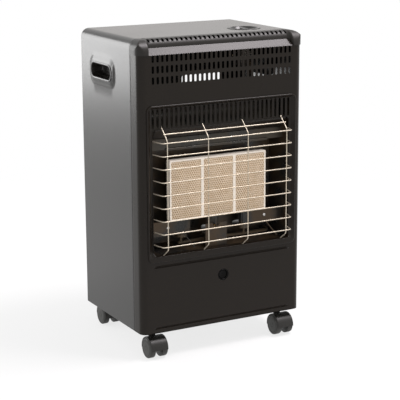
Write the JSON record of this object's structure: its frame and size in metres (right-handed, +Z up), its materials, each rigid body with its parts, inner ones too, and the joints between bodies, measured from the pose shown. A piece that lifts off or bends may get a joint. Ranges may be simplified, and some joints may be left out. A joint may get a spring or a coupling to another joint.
{
  "type": "portable gas cabinet heater",
  "caption": "Cabinet heater on swivel casters with a radiant plaque burner behind a wire guard, a bay for a gas cylinder and a rear cover that lifts off.",
  "frame": {"origin": "middle of the bounding box at floor level, under the wheels", "axes": "+Z up, the front with the burner faces -Y, +X is the right-hand side seen from the front"},
  "size_m": [0.431, 0.4414, 0.7311],
  "materials": {
    "satin_black": "satin black baked enamel on pressed steel",
    "dark_plastic": "fine grained black plastic",
    "wheel_grey": "smooth dark grey nylon",
    "zinc_steel": "zinc coated steel",
    "blued_steel": "heat darkened steel",
    "aluminised_steel": "bright aluminised sheet",
    "ceramic": "porous perforated ceramic",
    "plated_wire": "bright plated round wire",
    "brass": "turned brass"
  },
  "bodies": {
    "cabinet": {"cabinet_wrap": "satin_black", "front_panel": "satin_black", "top_front_trim": "dark_plastic", "base_plate": "zinc_steel", "rear_top_panel": "satin_black", "cover_guide_left": "satin_black", "cover_guide_right": "satin_black", "handle_left": "dark_plastic", "handle_right": "dark_plastic", "heater_bezel": "satin_black", "burner_chamber": "blued_steel", "top_deflector": "blued_steel", "bulkhead": "zinc_steel", "plaque_frame": "aluminised_steel", "plaque_left": "ceramic", "plaque_middle": "ceramic", "plaque_right": "ceramic", "burner_left": "aluminised_steel", "burner_middle": "aluminised_steel", "burner_right": "aluminised_steel", "burner_bracket_left": "blued_steel", "burner_bracket_right": "blued_steel", "wire_guard": "plated_wire", "pilot_bracket": "blued_steel", "pilot_burner": "brass", "pilot_electrode": "ceramic", "thermocouple": "zinc_steel", "pilot_pipe": "zinc_steel", "gas_valve": "brass", "valve_bracket": "zinc_steel", "gas_manifold": "zinc_steel", "inlet_nozzle": "brass", "knob_dial": "satin_black", "button_bezel": "dark_plastic", "piezo_unit": "dark_plastic", "caster_front_left_stem": "zinc_steel", "caster_front_right_stem": "zinc_steel", "caster_rear_left_stem": "zinc_steel", "caster_rear_right_stem": "zinc_steel"},
    "valve_plunger": {"thrust_collar": "brass"},
    "knob": {"knob_spindle": "brass", "knob": "dark_plastic"},
    "button": {"ignition_button": "dark_plastic"},
    "rear_cover": {"rear_cover": "satin_black"},
    "swivel_front_left": {"caster_front_left_hood": "dark_plastic", "caster_front_left_axle": "zinc_steel"},
    "wheel_front_left_left": {"caster_front_left_wheel_left": "wheel_grey"},
    "wheel_front_left_right": {"caster_front_left_wheel_right": "wheel_grey"},
    "swivel_front_right": {"caster_front_right_hood": "dark_plastic", "caster_front_right_axle": "zinc_steel"},
    "wheel_front_right_left": {"caster_front_right_wheel_left": "wheel_grey"},
    "wheel_front_right_right": {"caster_front_right_wheel_right": "wheel_grey"},
    "swivel_rear_left": {"caster_rear_left_hood": "dark_plastic", "caster_rear_left_axle": "zinc_steel"},
    "wheel_rear_left_left": {"caster_rear_left_wheel_left": "wheel_grey"},
    "wheel_rear_left_right": {"caster_rear_left_wheel_right": "wheel_grey"},
    "swivel_rear_right": {"caster_rear_right_hood": "dark_plastic", "caster_rear_right_axle": "zinc_steel"},
    "wheel_rear_right_left": {"caster_rear_right_wheel_left": "wheel_grey"},
    "wheel_rear_right_right": {"caster_rear_right_wheel_right": "wheel_grey"}
  },
  "joints": [
    {"name": "knob_push", "type": "slide", "parent": "cabinet", "child": "valve_plunger", "axis": [0, 0, -1], "range_m": [0, 0.005], "stiffness_N_per_m": 800, "springref_m": -0.003},
    {"name": "knob_turn", "type": "hinge", "parent": "valve_plunger", "child": "knob", "pos_m": [0.119, -0.08079, 0.72], "axis": [0, 0, 1], "range_deg": [0, 210]},
    {"name": "button_press", "type": "slide", "parent": "cabinet", "child": "button", "axis": [0, 1, 0], "range_m": [0, 0.006], "stiffness_N_per_m": 900, "springref_m": -0.002},
    {"name": "cover_lift", "type": "slide", "parent": "cabinet", "child": "rear_cover", "axis": [0, 0, 1], "range_m": [0, 0.5]},
    {"name": "swivel_front_left", "type": "hinge", "parent": "cabinet", "child": "swivel_front_left", "pos_m": [-0.169, -0.15579, 0.05], "axis": [0, 0, 1], "continuous": true},
    {"name": "roll_front_left_left", "type": "hinge", "parent": "swivel_front_left", "child": "wheel_front_left_left", "pos_m": [-0.1845, -0.17179, 0.0235], "axis": [1, 0, 0], "continuous": true},
    {"name": "roll_front_left_right", "type": "hinge", "parent": "swivel_front_left", "child": "wheel_front_left_right", "pos_m": [-0.1535, -0.17179, 0.0235], "axis": [1, 0, 0], "continuous": true},
    {"name": "swivel_front_right", "type": "hinge", "parent": "cabinet", "child": "swivel_front_right", "pos_m": [0.169, -0.15579, 0.05], "axis": [0, 0, 1], "continuous": true},
    {"name": "roll_front_right_left", "type": "hinge", "parent": "swivel_front_right", "child": "wheel_front_right_left", "pos_m": [0.1535, -0.17179, 0.0235], "axis": [1, 0, 0], "continuous": true},
    {"name": "roll_front_right_right", "type": "hinge", "parent": "swivel_front_right", "child": "wheel_front_right_right", "pos_m": [0.1845, -0.17179, 0.0235], "axis": [1, 0, 0], "continuous": true},
    {"name": "swivel_rear_left", "type": "hinge", "parent": "cabinet", "child": "swivel_rear_left", "pos_m": [-0.158, 0.08721, 0.05], "axis": [0, 0, 1], "continuous": true},
    {"name": "roll_rear_left_left", "type": "hinge", "parent": "swivel_rear_left", "child": "wheel_rear_left_left", "pos_m": [-0.1735, 0.10321, 0.0235], "axis": [1, 0, 0], "continuous": true},
    {"name": "roll_rear_left_right", "type": "hinge", "parent": "swivel_rear_left", "child": "wheel_rear_left_right", "pos_m": [-0.1425, 0.10321, 0.0235], "axis": [1, 0, 0], "continuous": true},
    {"name": "swivel_rear_right", "type": "hinge", "parent": "cabinet", "child": "swivel_rear_right", "pos_m": [0.158, 0.08721, 0.05], "axis": [0, 0, 1], "continuous": true},
    {"name": "roll_rear_right_left", "type": "hinge", "parent": "swivel_rear_right", "child": "wheel_rear_right_left", "pos_m": [0.1425, 0.10321, 0.0235], "axis": [1, 0, 0], "continuous": true},
    {"name": "roll_rear_right_right", "type": "hinge", "parent": "swivel_rear_right", "child": "wheel_rear_right_right", "pos_m": [0.1735, 0.10321, 0.0235], "axis": [1, 0, 0], "continuous": true}
  ]
}
